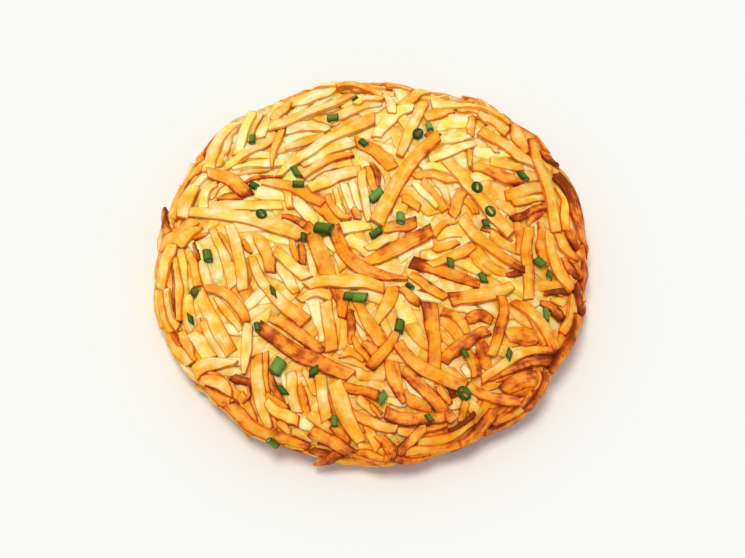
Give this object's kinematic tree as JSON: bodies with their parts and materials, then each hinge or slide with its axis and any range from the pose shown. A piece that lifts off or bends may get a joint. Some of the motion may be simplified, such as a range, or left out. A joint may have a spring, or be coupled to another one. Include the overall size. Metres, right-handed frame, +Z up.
{
  "type": "potato rosti",
  "caption": "Round pan-fried cake of matted potato shreds with snipped chives on top, flat underneath.",
  "frame": {"origin": "middle of the flat underside that the cake rests on", "axes": "+Z up through the cake; +Y away from the eater and +X to the eater's right, with no front of its own"},
  "size_m": [0.1905, 0.1946, 0.0311],
  "materials": {
    "fried_potato": "golden shreds with browned edges and tips, a thin sheen of fat",
    "potato_inside": "pale, moist cooked potato between the shreds",
    "chive": "snipped green stalk, waxy outside and pale inside"
  },
  "bodies": {
    "root": {"rosti": "fried_potato"}
  },
  "joints": []
}
